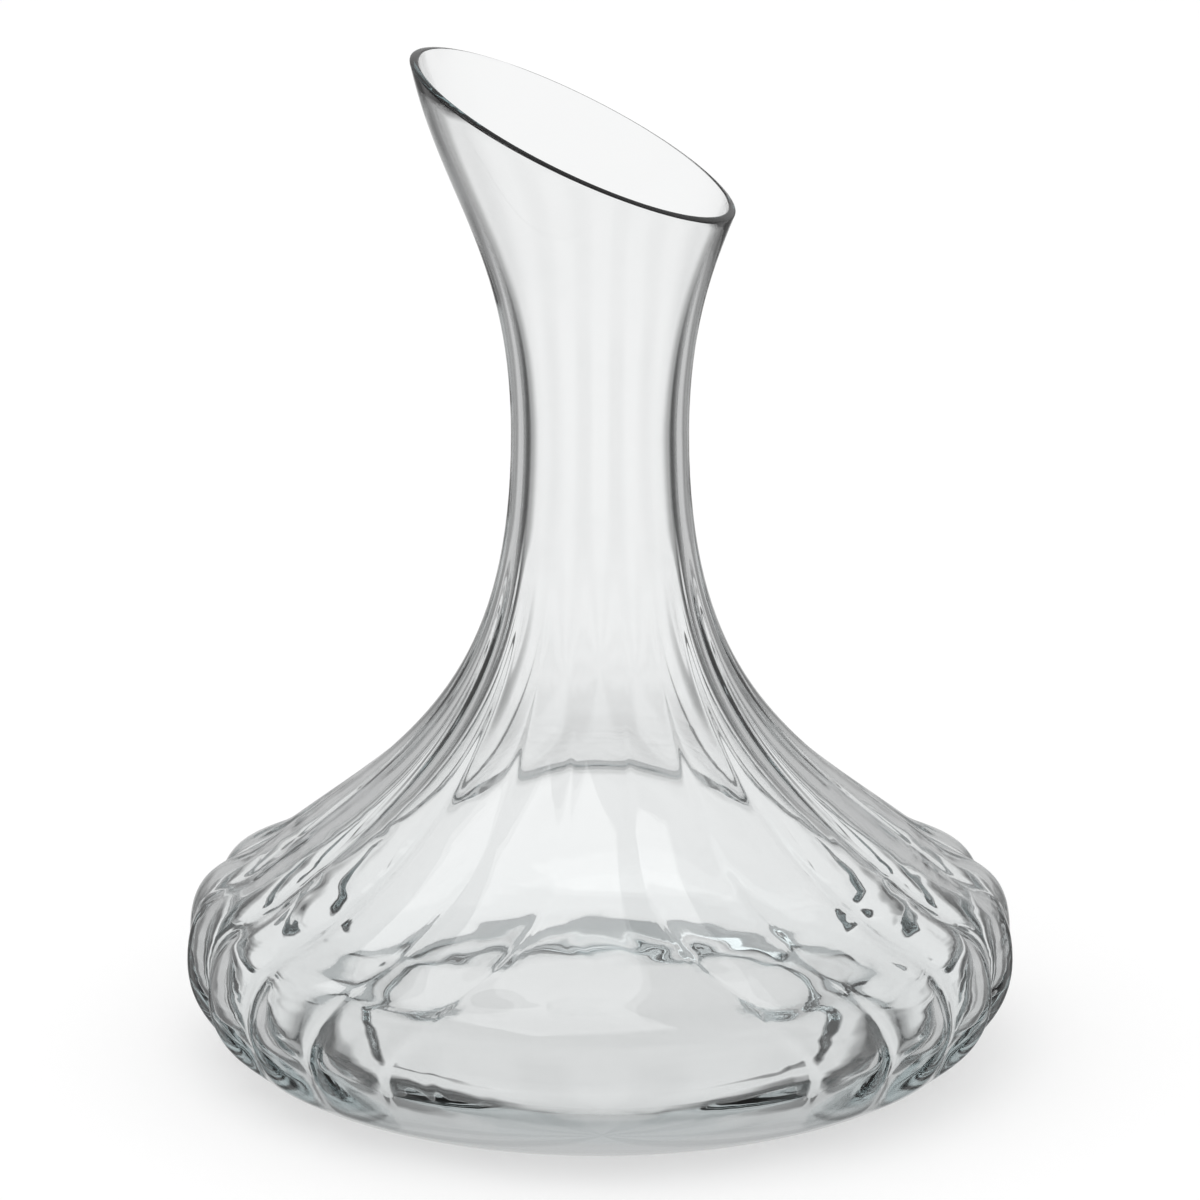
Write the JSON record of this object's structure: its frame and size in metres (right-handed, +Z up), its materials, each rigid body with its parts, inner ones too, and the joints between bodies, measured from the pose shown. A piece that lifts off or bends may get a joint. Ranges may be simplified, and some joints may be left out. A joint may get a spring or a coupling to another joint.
{
  "type": "wine decanter",
  "caption": "One-piece clear glass wine decanter: low fluted body, slim neck and a slanted, flared pouring mouth.",
  "frame": {"origin": "centre of the foot, on the surface that the decanter stands on", "axes": "+Z up along the neck; the high lip of the slanted mouth is on the -X side and the low lip on the +X side"},
  "size_m": [0.2074, 0.209, 0.2581],
  "materials": {
    "clear_glass": "clear, colourless, polished blown glass with a faint cool tint where it is thick"
  },
  "bodies": {
    "root": {"glass_vessel": "clear_glass"}
  },
  "joints": []
}
